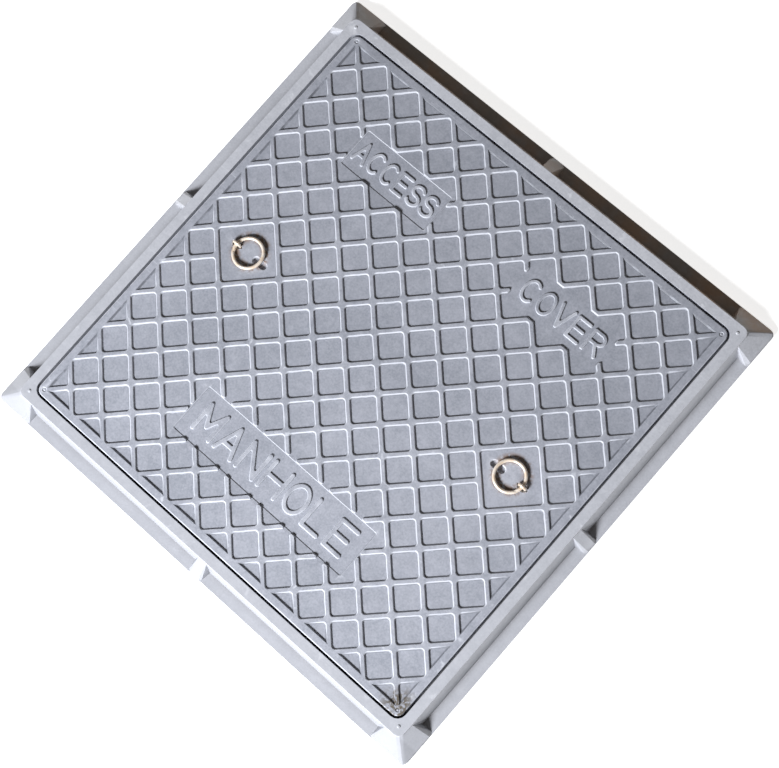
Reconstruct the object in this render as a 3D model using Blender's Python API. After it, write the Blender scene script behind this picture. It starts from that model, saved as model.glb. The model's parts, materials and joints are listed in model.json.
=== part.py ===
"""Square moulded manhole cover: a flanged frame, a lift-out lid with a diamond grid, and two hinged pull rings.

Metres, +Z up. The origin is the middle of the frame's underside. +X runs along the lid between its two rings.
"""

import math

import bmesh
import bpy
from mathutils import Matrix, Vector

MM = 0.001

# Lid and frame
LID_SIDE = 610 * MM
LID_CORNER_RADIUS = 10 * MM
LID_BOTTOM_Z = 8 * MM
TOP_Z = 30 * MM
LID_GAP = 3 * MM
FRAME_TOP_SIDE = 642 * MM
FRAME_BASE_SIDE = 690 * MM
CLEAR_OPENING = 572 * MM
FLANGE_THICKNESS = 5 * MM
WALL_DRAFT = 8 * MM
FRAME_TOP_RADIUS = 9 * MM
FRAME_BASE_RADIUS = 7 * MM
SEAT_RADIUS = 13 * MM

# Mid-side gussets and corner blocks
GUSSET_CREST_WIDTH = 13 * MM
GUSSET_WALL_WIDTH = 30 * MM
GUSSET_TOE_WIDTH = 22 * MM
BLOCK_BASE_REACH = 48 * MM
BLOCK_TOP_REACH = 22 * MM
BLOCK_SIDE_SPREAD = 7 * MM
BLOCK_TOE_HEIGHT = 2.5 * MM

# Diamond grid on the lid's top
GRID_PITCH = 54.6 * MM
GRID_CELLS = 11
GRID_LIMIT = 294.7 * MM
RIB_WIDTH = 5.2 * MM
RIB_DRAFT = 1.2 * MM
POCKET_DEPTH = 2.5 * MM
FLOOR_Z = TOP_Z - POCKET_DEPTH

# Plain fields in the grid, in grid pitches from the lid's middle: centre x, centre y, width, height
NAME_FIELDS = (
    (-2.5, 3.5, 2.585, 1.035),
    (2.5, 3.5, 2.60, 1.05),
    (0.0, -3.5, 5.165, 1.275),
)
SUNK_FIELDS = (NAME_FIELDS[0], NAME_FIELDS[2])
SUNK_INSET = 1.35 * MM
SUNK_DEPTH = 0.9 * MM
RING_POCKET_X = 4 * GRID_PITCH

# Ribs under the lid
PLATE_THICKNESS = 7 * MM
PLATE_BOTTOM_Z = FLOOR_Z - PLATE_THICKNESS
SKIRT_THICKNESS = 8 * MM
UNDER_RIB = 5 * MM
UNDER_RIB_CENTRES = (36.3 * MM, 108.9 * MM, 181.5 * MM, 253 * MM)

# Pull rings and their eyes
RING_WIRE_RADIUS = 2.2 * MM
RING_RADIUS = 19.6 * MM
RING_TILT = math.radians(2)
HINGE_X = 236 * MM
HINGE_Z = FLOOR_Z + RING_WIRE_RADIUS + 0.35 * MM
STAPLE_WIRE_RADIUS = 2.0 * MM
STAPLE_LEG_OFFSET = 4.6 * MM
STAPLE_END_Z = 11 * MM
EYE_HOLE = (17 * MM, 10 * MM)
EYE_BEVEL = 0.7 * MM
GROOVE_X = 197.5 * MM
GROOVE_BOTTOM = (18.4 * MM, 6.4 * MM)
GROOVE_TOP = (22 * MM, 10 * MM)
GROOVE_DEPTH = 4.8 * MM

# Fastenings under the lid
TOUCH_GAP = 0.3 * MM
PLATE_SIZE = (28 * MM, 20 * MM, 3 * MM)
PLATE_TOP_Z = PLATE_BOTTOM_Z - TOUCH_GAP
NUT_ACROSS_FLATS = 7 * MM
NUT_HEIGHT = 3.2 * MM
NUT_TOP_Z = PLATE_TOP_Z - PLATE_SIZE[2] - TOUCH_GAP
HOLE_CLEARANCE = 0.4 * MM

# Seat gasket
GASKET_INNER = 578 * MM
GASKET_OUTER = 602 * MM
GASKET_BOTTOM_Z = FLANGE_THICKNESS + TOUCH_GAP
GASKET_TOP_Z = LID_BOTTOM_Z - TOUCH_GAP

CORNER_STEPS = 4
CUT_MARGIN = 5 * MM

MATERIALS = {
    "frame_moulding": ((0.42, 0.43, 0.45), 0.55, 0.0),
    "lid_moulding": ((0.30, 0.31, 0.34), 0.50, 0.0),
    "ring_brass": ((0.66, 0.52, 0.34), 0.30, 1.0),
    "fastener_steel": ((0.55, 0.55, 0.55), 0.35, 1.0),
    "gasket_rubber": ((0.03, 0.03, 0.03), 0.85, 0.0),
}


def material(name):
    """The Principled material of that name, made once."""
    found = bpy.data.materials.get(name)
    if found:
        return found
    colour, roughness, metallic = MATERIALS[name]
    made = bpy.data.materials.new(name)
    made.use_nodes = True
    shader = made.node_tree.nodes["Principled BSDF"]
    shader.inputs["Base Color"].default_value = (*colour, 1)
    shader.inputs["Roughness"].default_value = roughness
    shader.inputs["Metallic"].default_value = metallic
    return made


def finish_mesh(bm, name, material_name, cutter=False):
    """Turns a bmesh into a linked object; a cutter is kept out of the render."""
    bmesh.ops.recalc_face_normals(bm, faces=bm.faces)
    mesh = bpy.data.meshes.new(name)
    bm.to_mesh(mesh)
    bm.free()
    obj = bpy.data.objects.new(name, mesh)
    bpy.context.scene.collection.objects.link(obj)
    if cutter:
        obj.hide_render = True
        obj.display_type = "WIRE"
    else:
        mesh.materials.append(material(material_name))
    return obj


def boolean(target, other, operation="DIFFERENCE"):
    modifier = target.modifiers.new(f"{operation.lower()}_{other.name}", "BOOLEAN")
    modifier.operation = operation
    modifier.object = other
    modifier.solver = "EXACT"


def shade_round(obj):
    obj.data.shade_smooth()
    obj.data.set_sharp_from_angle(angle=math.radians(35))


def rounded_rectangle(width, height, radius, steps=CORNER_STEPS):
    """Outline points of a rectangle with round corners, anticlockwise, centred on the origin."""
    points = []
    for corner, (sx, sy) in enumerate(((1, 1), (-1, 1), (-1, -1), (1, -1))):
        centre = Vector((sx * (width / 2 - radius), sy * (height / 2 - radius)))
        for step in range(steps + 1):
            angle = (corner + step / steps) * math.pi / 2
            points.append(centre + radius * Vector((math.cos(angle), math.sin(angle))))
    return points


def loop_of(bm, points, z, offset=(0, 0)):
    return [bm.verts.new((point[0] + offset[0], point[1] + offset[1], z)) for point in points]


def bridge(bm, lower, upper):
    """Side faces between two closed loops with the same number of points."""
    count = len(lower)
    for i in range(count):
        j = (i + 1) % count
        bm.faces.new((lower[i], lower[j], upper[j], upper[i]))


def add_prism(bm, bottom_points, bottom_z, top_points, top_z, offset=(0, 0)):
    """A closed block between two outlines, straight or tapered."""
    lower = loop_of(bm, bottom_points, bottom_z, offset)
    upper = loop_of(bm, top_points, top_z, offset)
    bridge(bm, lower, upper)
    bm.faces.new(list(reversed(lower)))
    bm.faces.new(upper)


def rectangle(width, height):
    x = width / 2
    y = height / 2
    return [Vector((x, y)), Vector((-x, y)), Vector((-x, -y)), Vector((x, -y))]


def circle(radius, steps=16):
    turns = [step / steps * math.tau for step in range(steps)]
    return [radius * Vector((math.cos(turn), math.sin(turn))) for turn in turns]


def diamond(half_diagonal):
    return [Vector(p) * half_diagonal for p in ((1, 0), (0, 1), (-1, 0), (0, -1))]


def clipped(points, limit):
    """The part of a convex outline that lies inside the square |x| < limit, |y| < limit."""
    for axis in (0, 1):
        for side in (1, -1):
            kept = []
            for i, here in enumerate(points):
                before = points[i - 1]
                depth_here = limit - side * here[axis]
                depth_before = limit - side * before[axis]
                if depth_here * depth_before < 0:
                    kept.append(before.lerp(here, depth_before / (depth_before - depth_here)))
                if depth_here >= 0:
                    kept.append(here)
            points = kept
    return points


# Frame


def frame_collar():
    """The ring-shaped body: seat, upright wall and base flange, swept round the rounded square."""
    seat_side = LID_SIDE + 2 * LID_GAP
    foot_side = FRAME_TOP_SIDE + 2 * WALL_DRAFT
    profile = (
        (CLEAR_OPENING, SEAT_RADIUS, 0),
        (FRAME_BASE_SIDE, FRAME_BASE_RADIUS, 0),
        (FRAME_BASE_SIDE, FRAME_BASE_RADIUS, FLANGE_THICKNESS),
        (foot_side, FRAME_TOP_RADIUS, FLANGE_THICKNESS),
        (FRAME_TOP_SIDE, FRAME_TOP_RADIUS, TOP_Z),
        (seat_side, SEAT_RADIUS, TOP_Z),
        (seat_side, SEAT_RADIUS, FLANGE_THICKNESS),
        (CLEAR_OPENING, SEAT_RADIUS, FLANGE_THICKNESS),
    )
    bm = bmesh.new()
    loops = [loop_of(bm, rounded_rectangle(side, side, radius), z) for side, radius, z in profile]
    for i, loop in enumerate(loops):
        bridge(bm, loop, loops[(i + 1) % len(loops)])
    return finish_mesh(bm, "frame", "frame_moulding")


def add_hull(bm, points):
    """A convex block around the points."""
    verts = [bm.verts.new(point) for point in points]
    hull = bmesh.ops.convex_hull(bm, input=verts, use_existing_faces=False)
    inside = [v for v in hull["geom_interior"] if isinstance(v, bmesh.types.BMVert)]
    bmesh.ops.delete(bm, geom=inside, context="VERTS")


def gusset_points():
    """One gusset on the +X side: full height at the wall's top, down to the flange's edge."""
    top_x = FRAME_TOP_SIDE / 2 - MM
    toe_x = FRAME_BASE_SIDE / 2 - 0.5 * MM
    root_x = top_x - 3 * MM
    foot_z = FLANGE_THICKNESS - 2 * MM
    outline = (
        (root_x, GUSSET_CREST_WIDTH, TOP_Z - MM),
        (top_x, GUSSET_CREST_WIDTH, TOP_Z - MM),
        (toe_x, GUSSET_CREST_WIDTH, FLANGE_THICKNESS + MM),
        (toe_x, GUSSET_TOE_WIDTH, foot_z),
        (root_x, GUSSET_WALL_WIDTH, foot_z),
    )
    return [Vector((x, side * width / 2, z)) for x, width, z in outline for side in (1, -1)]


def corner_block_points():
    """One block at the +X +Y corner: it slopes from the wall's top corner down to the flange's corner."""
    top = FRAME_TOP_SIDE / 2 - MM
    inner = top - 3 * MM
    base = FRAME_BASE_SIDE / 2 - 0.5 * MM
    foot_z = FLANGE_THICKNESS - 2 * MM
    toe_z = FLANGE_THICKNESS + BLOCK_TOE_HEIGHT
    top_end = FRAME_TOP_SIDE / 2 - BLOCK_TOP_REACH
    base_end = FRAME_BASE_SIDE / 2 - BLOCK_BASE_REACH
    foot_end = base_end - BLOCK_SIDE_SPREAD
    rounding = FRAME_BASE_RADIUS * (1 - math.sqrt(0.5))
    points = [
        (inner, inner, TOP_Z - MM),
        (top - rounding, top - rounding, TOP_Z - MM),
        (base - rounding, base - rounding, toe_z),
        (base - rounding, base - rounding, foot_z),
        (inner, inner, foot_z),
    ]
    for swap in (False, True):
        side = [
            (top, top_end, TOP_Z - MM),
            (top, top - FRAME_BASE_RADIUS, TOP_Z - MM),
            (base, base_end, toe_z),
            (base, foot_end, foot_z),
            (base, base - FRAME_BASE_RADIUS, toe_z),
            (base, base - FRAME_BASE_RADIUS, foot_z),
            (inner, top_end, TOP_Z - MM),
            (inner, foot_end, foot_z),
        ]
        points += [(y, x, z) if swap else (x, y, z) for x, y, z in side]
    return [Vector(point) for point in points]


def frame():
    body = frame_collar()
    for kind, points in (("gusset", gusset_points()), ("block", corner_block_points())):
        bm = bmesh.new()
        for quarter in range(4):
            turn = Matrix.Rotation(quarter * math.pi / 2, 3, "Z")
            add_hull(bm, [turn @ point for point in points])
        boolean(body, finish_mesh(bm, f"{kind}_shapes", None, cutter=True), "UNION")


def seat_gasket():
    """A flat rubber strip on the frame's seat."""
    bm = bmesh.new()
    loops = []
    for side, z in (
        (GASKET_INNER, GASKET_BOTTOM_Z),
        (GASKET_OUTER, GASKET_BOTTOM_Z),
        (GASKET_OUTER, GASKET_TOP_Z),
        (GASKET_INNER, GASKET_TOP_Z),
    ):
        loops.append(loop_of(bm, rounded_rectangle(side, side, LID_CORNER_RADIUS), z))
    for i, loop in enumerate(loops):
        bridge(bm, loop, loops[(i + 1) % len(loops)])
    finish_mesh(bm, "seat_gasket", "gasket_rubber")


# Lid


def in_plain_area(x, y):
    """Whether a grid pocket centred there would lie wholly inside a name field or a ring pocket."""
    for field_x, field_y, width, height in NAME_FIELDS:
        half_width = (width - 1) / 2 * GRID_PITCH
        half_height = (height - 1) / 2 * GRID_PITCH
        if (
            abs(x - field_x * GRID_PITCH) < half_width
            and abs(y - field_y * GRID_PITCH) <= half_height + MM
        ):
            return True
    return abs(abs(x) - RING_POCKET_X) + abs(y) < 0.9 * GRID_PITCH


def pocket_outlines(half_diagonal, x, y):
    """Floor and top outlines of a diamond pocket centred at x, y, cut off at the lid's rim."""
    slope = RIB_DRAFT * math.sqrt(2)
    outlines = []
    for half, limit in ((half_diagonal - slope, GRID_LIMIT - RIB_DRAFT), (half_diagonal, GRID_LIMIT)):
        outline = [point + Vector((x, y)) for point in diamond(half)]
        outlines.append(clipped(outline, limit))
    return outlines


def add_tapered_pocket(bm, floor, top):
    """A pocket cutter whose walls carry their slope on above the lid's face."""
    rise = CUT_MARGIN / POCKET_DEPTH
    above = [high + (high - low) * rise for low, high in zip(floor, top)]
    add_prism(bm, floor, FLOOR_Z, above, TOP_Z + CUT_MARGIN)


def grid_pocket_cutter():
    half_diagonal = (GRID_PITCH - RIB_WIDTH * math.sqrt(2)) / 2
    bm = bmesh.new()
    for row in range(2 * GRID_CELLS + 1):
        for column in range(2 * GRID_CELLS + 1):
            if (row + column) % 2 == 0:
                continue
            x = (column - GRID_CELLS) * GRID_PITCH / 2
            y = (row - GRID_CELLS) * GRID_PITCH / 2
            if not in_plain_area(x, y):
                add_tapered_pocket(bm, *pocket_outlines(half_diagonal, x, y))
    return finish_mesh(bm, "grid_pockets", None, cutter=True)


def plain_area_cutter():
    """The name fields and the two large ring pockets."""
    bm = bmesh.new()
    for x, y, width, height in NAME_FIELDS:
        centre = Vector((x, y)) * GRID_PITCH
        size = Vector((width, height)) * GRID_PITCH
        top = [point + centre for point in rectangle(*size)]
        floor = [point + centre for point in rectangle(size.x - 2 * RIB_DRAFT, size.y - 2 * RIB_DRAFT)]
        add_tapered_pocket(bm, floor, top)
    half_diagonal = (2 * GRID_PITCH - RIB_WIDTH * math.sqrt(2)) / 2
    for side in (1, -1):
        add_tapered_pocket(bm, *pocket_outlines(half_diagonal, side * RING_POCKET_X, 0))
    return finish_mesh(bm, "plain_areas", None, cutter=True)


def under_rib_spans():
    """Low and high edge of each hollow between the ribs under the lid, along one axis."""
    half_rib = UNDER_RIB / 2
    inner_face = LID_SIDE / 2 - SKIRT_THICKNESS
    starts = [-UNDER_RIB_CENTRES[0] + half_rib] + [centre + half_rib for centre in UNDER_RIB_CENTRES]
    ends = [centre - half_rib for centre in UNDER_RIB_CENTRES] + [inner_face]
    positive = list(zip(starts, ends))
    return [(-high, -low) for low, high in reversed(positive[1:])] + positive


def under_hollow_cutter():
    bm = bmesh.new()
    spans = under_rib_spans()
    for low_x, high_x in spans:
        for low_y, high_y in spans:
            outline = rectangle(high_x - low_x, high_y - low_y)
            middle = ((low_x + high_x) / 2, (low_y + high_y) / 2)
            add_prism(bm, outline, LID_BOTTOM_Z - CUT_MARGIN, outline, PLATE_BOTTOM_Z, middle)
    return finish_mesh(bm, "under_hollows", None, cutter=True)


def long_hexagon(length, width):
    """A rectangle with both ends cut to a right-angled point."""
    tip = length / 2
    half = width / 2
    shoulder = tip - half
    corners = ((tip, 0), (shoulder, half), (-shoulder, half), (-tip, 0), (-shoulder, -half), (shoulder, -half))
    return [Vector(corner) for corner in corners]


def eye_hole_cutter():
    """The holes for the staples right through the lid's plate, their top edges bevelled at 45 degrees."""
    length, width = EYE_HOLE
    narrow = long_hexagon(length, width)
    spread = EYE_BEVEL + MM
    wide = long_hexagon(length + 2 * spread * math.sqrt(2), width + 2 * spread)
    bm = bmesh.new()
    for x in (HINGE_X, -HINGE_X):
        lower = loop_of(bm, narrow, LID_BOTTOM_Z, (x, 0))
        middle = loop_of(bm, narrow, FLOOR_Z - EYE_BEVEL, (x, 0))
        upper = loop_of(bm, wide, FLOOR_Z + MM, (x, 0))
        bridge(bm, lower, middle)
        bridge(bm, middle, upper)
        bm.faces.new(list(reversed(lower)))
        bm.faces.new(upper)
    return finish_mesh(bm, "eye_holes", None, cutter=True)


def sunk_area_cutter():
    """The finger grooves under the rings' free ends, and the shallow sunk plates of two name fields."""
    bm = bmesh.new()
    bottom = rounded_rectangle(*GROOVE_BOTTOM, GROOVE_BOTTOM[1] / 2 - 0.01 * MM)
    top = rounded_rectangle(*GROOVE_TOP, GROOVE_TOP[1] / 2 - 0.01 * MM)
    rise = MM / GROOVE_DEPTH
    above = [high + (high - low) * rise for low, high in zip(bottom, top)]
    for x in (GROOVE_X, -GROOVE_X):
        add_prism(bm, bottom, FLOOR_Z - GROOVE_DEPTH, above, FLOOR_Z + MM, (x, 0))
    for x, y, width, height in SUNK_FIELDS:
        outline = rectangle(width * GRID_PITCH - 2 * SUNK_INSET, height * GRID_PITCH - 2 * SUNK_INSET)
        middle = (x * GRID_PITCH, y * GRID_PITCH)
        add_prism(bm, outline, FLOOR_Z - SUNK_DEPTH, outline, FLOOR_Z + MM, middle)
    return finish_mesh(bm, "sunk_areas", None, cutter=True)


def lid():
    outline = rounded_rectangle(LID_SIDE, LID_SIDE, LID_CORNER_RADIUS)
    bm = bmesh.new()
    add_prism(bm, outline, LID_BOTTOM_Z, outline, TOP_Z)
    body = finish_mesh(bm, "lid", "lid_moulding")
    cutters = (
        grid_pocket_cutter(), plain_area_cutter(), under_hollow_cutter(), eye_hole_cutter(), sunk_area_cutter()
    )
    for cutter in cutters:
        boolean(body, cutter)


# Pull rings and their fastenings, side +1 on the right and -1 on the left


def pull_ring(name, side):
    """A wire ring whose origin is the hinge axis; its free end points at the lid's middle, tilted up a little."""
    bm = bmesh.new()
    section = 8
    around = 28
    loops = []
    for step in range(around):
        turn = Matrix.Rotation(step / around * math.tau, 3, "Z")
        loop = []
        for corner in range(section):
            angle = corner / section * math.tau
            point = Vector((RING_RADIUS + RING_WIRE_RADIUS * math.cos(angle), 0, RING_WIRE_RADIUS * math.sin(angle)))
            loop.append(bm.verts.new(turn @ point - Vector((RING_RADIUS, 0, 0))))
        loops.append(loop)
    for i, loop in enumerate(loops):
        bridge(bm, loop, loops[(i + 1) % around])
    tilt = Matrix.Rotation(RING_TILT, 4, "Y")
    facing = Matrix.Identity(4) if side > 0 else Matrix.Rotation(math.pi, 4, "Z")
    bmesh.ops.transform(bm, matrix=facing @ tilt, verts=bm.verts)
    ring = finish_mesh(bm, name, "ring_brass")
    ring.location = (side * HINGE_X, 0, HINGE_Z)
    shade_round(ring)


def eye_staple(name, side):
    """A bow over the ring's wire with two legs through the lid."""
    arch_steps = 8
    points = [Vector((STAPLE_LEG_OFFSET, 0, STAPLE_END_Z))]
    for step in range(arch_steps + 1):
        angle = step / arch_steps * math.pi
        points.append(Vector((math.cos(angle), 0, math.sin(angle))) * STAPLE_LEG_OFFSET + Vector((0, 0, HINGE_Z)))
    points.append(Vector((-STAPLE_LEG_OFFSET, 0, STAPLE_END_Z)))
    curve = bpy.data.curves.new(name, "CURVE")
    curve.dimensions = "3D"
    curve.bevel_depth = STAPLE_WIRE_RADIUS
    curve.bevel_resolution = 2
    curve.use_fill_caps = True
    spline = curve.splines.new("POLY")
    spline.points.add(len(points) - 1)
    for spline_point, point in zip(spline.points, points):
        spline_point.co = (*point, 1)
    curve.materials.append(material("ring_brass"))
    staple = bpy.data.objects.new(name, curve)
    staple.location.x = side * HINGE_X
    bpy.context.scene.collection.objects.link(staple)


def leg_hole_cutter(name, x, low_z, high_z):
    """Round cutters for the two staple legs."""
    hole = circle(STAPLE_WIRE_RADIUS + HOLE_CLEARANCE)
    bm = bmesh.new()
    for offset in (STAPLE_LEG_OFFSET, -STAPLE_LEG_OFFSET):
        add_prism(bm, hole, low_z, hole, high_z, (x + offset, 0))
    return finish_mesh(bm, name, None, cutter=True)


def eye_plate(name, side):
    """The backing plate that spreads the staple's pull under the lid."""
    width, depth, thickness = PLATE_SIZE
    outline = rounded_rectangle(width, depth, 3 * MM)
    bottom_z = PLATE_TOP_Z - thickness
    x = side * HINGE_X
    bm = bmesh.new()
    add_prism(bm, outline, bottom_z, outline, PLATE_TOP_Z, (x, 0))
    plate = finish_mesh(bm, name, "fastener_steel")
    boolean(plate, leg_hole_cutter(f"{name}_holes", x, bottom_z - MM, PLATE_TOP_Z + MM))


def eye_nut(name, x):
    """A plain hexagon nut with a clearance bore."""
    corner_radius = NUT_ACROSS_FLATS / math.sqrt(3)
    bottom_z = NUT_TOP_Z - NUT_HEIGHT
    outer = circle(corner_radius, 6)
    inner = circle(STAPLE_WIRE_RADIUS + HOLE_CLEARANCE, 18)
    bm = bmesh.new()
    add_prism(bm, outer, bottom_z, outer, NUT_TOP_Z, (x, 0))
    nut = finish_mesh(bm, name, "fastener_steel")
    bm = bmesh.new()
    add_prism(bm, inner, bottom_z - MM, inner, NUT_TOP_Z + MM, (x, 0))
    boolean(nut, finish_mesh(bm, f"{name}_bore", None, cutter=True))


def ring_and_fastenings(word, side):
    pull_ring(f"ring_{word}", side)
    eye_staple(f"eye_staple_{word}", side)
    eye_plate(f"eye_plate_{word}", side)
    eye_nut(f"eye_nut_{word}_outer", side * (HINGE_X + STAPLE_LEG_OFFSET))
    eye_nut(f"eye_nut_{word}_inner", side * (HINGE_X - STAPLE_LEG_OFFSET))


def main():
    for obj in list(bpy.data.objects):
        bpy.data.objects.remove(obj, do_unlink=True)
    frame()
    seat_gasket()
    lid()
    ring_and_fastenings("left", -1)
    ring_and_fastenings("right", 1)


main()
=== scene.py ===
"""Square moulded manhole cover: the visual model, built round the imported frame.

Metres, +Z up. The origin is the middle of the frame's underside. +X runs along the lid between its two rings.
"""

import json
import math

import bmesh
import bpy
from mathutils import Euler, Matrix, Vector
from mathutils.geometry import delaunay_2d_cdt


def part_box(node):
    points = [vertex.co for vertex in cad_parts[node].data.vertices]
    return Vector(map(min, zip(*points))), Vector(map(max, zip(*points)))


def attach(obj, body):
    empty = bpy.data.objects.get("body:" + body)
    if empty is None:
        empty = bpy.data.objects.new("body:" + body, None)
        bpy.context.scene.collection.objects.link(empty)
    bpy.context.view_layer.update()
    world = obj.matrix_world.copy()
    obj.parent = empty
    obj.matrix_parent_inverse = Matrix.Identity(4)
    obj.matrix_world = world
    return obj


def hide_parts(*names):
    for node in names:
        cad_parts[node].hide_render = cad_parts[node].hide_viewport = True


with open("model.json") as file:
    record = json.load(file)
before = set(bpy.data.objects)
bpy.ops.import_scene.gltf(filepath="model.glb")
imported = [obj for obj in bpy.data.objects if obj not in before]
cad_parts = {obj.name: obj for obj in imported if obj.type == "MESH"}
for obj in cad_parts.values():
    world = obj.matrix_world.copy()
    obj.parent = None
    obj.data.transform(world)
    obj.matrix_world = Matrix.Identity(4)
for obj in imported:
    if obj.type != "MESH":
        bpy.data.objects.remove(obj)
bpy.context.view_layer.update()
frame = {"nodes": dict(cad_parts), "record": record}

MM = 0.001

LID_LOW, LID_HIGH = (Vector(corner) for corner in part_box("lid"))
FRAME_LOW, FRAME_HIGH = (Vector(corner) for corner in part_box("frame"))
GASKET_LOW, GASKET_HIGH = (Vector(corner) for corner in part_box("seat_gasket"))
TOP_Z = LID_HIGH.z
LID_HALF = LID_HIGH.x
LID_CORNER_RADIUS = 10 * MM

# Diamond grid on the lid's top
GRID_PITCH = 54.6 * MM
GRID_CELLS = 11
GRID_LIMIT = 294.7 * MM
RIB_WIDTH = 5.2 * MM
POCKET_DEPTH = 2.5 * MM
FLOOR_Z = TOP_Z - POCKET_DEPTH
POCKET_CORNER_RADIUS = 4.2 * MM
RIB_END_RADIUS = 2.6 * MM

# Plain fields in the grid, in grid pitches from the lid's middle: centre x, centre y, width, height
LEFT_FIELD = (-2.5, 3.5, 2.585, 1.035)
RIGHT_FIELD = (2.5, 3.5, 2.60, 1.05)
LOWER_FIELD = (0.0, -3.5, 5.165, 1.275)
NAME_FIELDS = (LEFT_FIELD, RIGHT_FIELD, LOWER_FIELD)
PLATE_FIELDS = (LEFT_FIELD, LOWER_FIELD)
PLATE_INSET = 0.75 * MM
PLATE_Z = FLOOR_Z - 0.9 * MM
RING_POCKET_X = 4 * GRID_PITCH
RING_POCKET_SHARE = 0.9

# Under the lid
PLATE_BOTTOM_Z = FLOOR_Z - 7 * MM
SKIRT_THICKNESS = 8 * MM
UNDER_RIB = 5 * MM
UNDER_RIB_CENTRES = (36.3 * MM, 108.9 * MM, 181.5 * MM, 253 * MM)

# Rings, staples and the holes for them
HINGE_X = 236 * MM
RING_RADIUS = 19.6 * MM
RING_WIRE = 2.2 * MM
RING_TILT = math.radians(2)
STAPLE_WIRE = 2.0 * MM
STAPLE_LEG_OFFSET = 4.6 * MM
STAPLE_END_Z = 11 * MM
GROOVE_X = 197.5 * MM
GROOVE = (18.6 * MM, 6.6 * MM)
EYE_HOLE = (17.0 * MM, 10 * MM)


# Outlines in the plane: lists of points, anticlockwise


def flat(x, y):
    """A point in the plane."""
    return Vector((x, y))


def rectangle(width, height, centre=(0, 0)):
    x = width / 2
    y = height / 2
    corners = ((x, y), (-x, y), (-x, -y), (x, -y))
    return [flat(cx + centre[0], cy + centre[1]) for cx, cy in corners]


def diamond(half_diagonal, centre=(0, 0)):
    corners = ((1, 0), (0, 1), (-1, 0), (0, -1))
    return [flat(cx * half_diagonal + centre[0], cy * half_diagonal + centre[1]) for cx, cy in corners]


def circle(radius, steps, centre=(0, 0)):
    turns = [step / steps * math.tau for step in range(steps)]
    return [flat(centre[0] + radius * math.cos(turn), centre[1] + radius * math.sin(turn)) for turn in turns]


def long_hexagon(length, width, centre=(0, 0)):
    """A rectangle with both ends cut to a right-angled point."""
    tip = length / 2
    shoulder = tip - width / 2
    half = width / 2
    upper = ((tip, 0), (shoulder, half), (-shoulder, half))
    lower = ((-tip, 0), (-shoulder, -half), (shoulder, -half))
    return [flat(cx + centre[0], cy + centre[1]) for cx, cy in upper + lower]


def clipped(points, limit):
    """The part of a convex outline that lies inside the square |x| < limit, |y| < limit."""
    for axis in (0, 1):
        for side in (1, -1):
            kept = []
            for i, here in enumerate(points):
                before = points[i - 1]
                depth_here = limit - side * here[axis]
                depth_before = limit - side * before[axis]
                if depth_here * depth_before < 0:
                    kept.append(before.lerp(here, depth_before / (depth_before - depth_here)))
                if depth_here >= 0:
                    kept.append(here)
            points = kept
    return points


def turn_at(before, here, after):
    """Signed angle by which the outline turns at a point, positive to the left."""
    first = here - before
    second = after - here
    return math.atan2(first.x * second.y - first.y * second.x, first.dot(second))


def without_straight_points(outline):
    """The outline without doubled points and points on a straight run."""
    spaced = [p for i, p in enumerate(outline) if (p - outline[i - 1]).length > 0.002 * MM]
    count = len(spaced)
    return [
        spaced[i] for i in range(count)
        if abs(turn_at(spaced[i - 1], spaced[i], spaced[(i + 1) % count])) > math.radians(0.5)
    ]


SMALLEST_CORNER = math.radians(25)
SHARPEST_CORNER = math.radians(100)


def rounded(outline, outer_radius, inner_radius, step=math.radians(15)):
    """The outline with round corners: outer_radius at left turns, inner_radius at right turns.

    Very slight turns and acute left-turning corners stay as they are.
    """
    outline = without_straight_points(outline)
    count = len(outline)
    result = []
    for i, corner in enumerate(outline):
        before = outline[i - 1]
        after = outline[(i + 1) % count]
        turn = turn_at(before, corner, after)
        if abs(turn) < SMALLEST_CORNER or turn > SHARPEST_CORNER:
            result.append(corner)
            continue
        radius = outer_radius if turn > 0 else inner_radius
        slope = math.tan(abs(turn) / 2)
        longest = 0.48 * min((before - corner).length, (after - corner).length)
        radius = min(radius, longest / slope)
        start = corner + (before - corner).normalized() * radius * slope
        along = (corner - before).normalized()
        centre = start + flat(-along.y, along.x) * math.copysign(radius, turn)
        steps = max(1, round(abs(turn) / step))
        for k in range(steps + 1):
            result.append(centre + Matrix.Rotation(turn * k / steps, 2) @ (start - centre))
    return result


def shifted(outline, distance, shares=None):
    """The outline moved sideways: outwards for a positive distance, or by each point's share of it."""
    count = len(outline)
    result = []
    for i, here in enumerate(outline):
        first = (here - outline[i - 1]).normalized()
        second = (outline[(i + 1) % count] - here).normalized()
        side = flat(first.y + second.y, -first.x - second.x)
        normal = side.normalized()
        stretch = 1 / max(0.3, normal.dot(flat(first.y, -first.x)))
        result.append(here + normal * distance * stretch * (shares[i] if shares else 1))
    return result


def rounded_square(half_side, radius):
    """A square round the origin with round corners."""
    return rounded(rectangle(2 * half_side, 2 * half_side), radius, radius, step=math.radians(11.25))


def loops_from(edges):
    """Closed chains of vertex numbers from directed boundary edges."""
    following = dict(edges)
    chains = []
    while following:
        start = min(following)
        chain = [start]
        here = following.pop(start)
        while here != start:
            chain.append(here)
            here = following.pop(here)
        chains.append(chain)
    return chains


def union(outlines):
    """Boundary outlines of the union of closed outlines: outer ones anticlockwise, holes clockwise."""
    points = [point for outline in outlines for point in outline]
    faces = []
    start = 0
    for outline in outlines:
        faces.append(list(range(start, start + len(outline))))
        start += len(outline)
    found = delaunay_2d_cdt(points, [], faces, 1, 1e-7, True)
    verts, pieces, owners = found[0], found[2], found[5]
    directed = set()
    for piece, owner in zip(pieces, owners):
        if owner:
            directed.update(zip(piece, piece[1:] + piece[:1]))
    border = sorted(edge for edge in directed if (edge[1], edge[0]) not in directed)
    return [[Vector(verts[i]) for i in chain] for chain in loops_from(border)]


# Meshes


def loop_at(bm, outline, z):
    """New vertices along an outline at one height."""
    return [bm.verts.new((point.x, point.y, z)) for point in outline]


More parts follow.
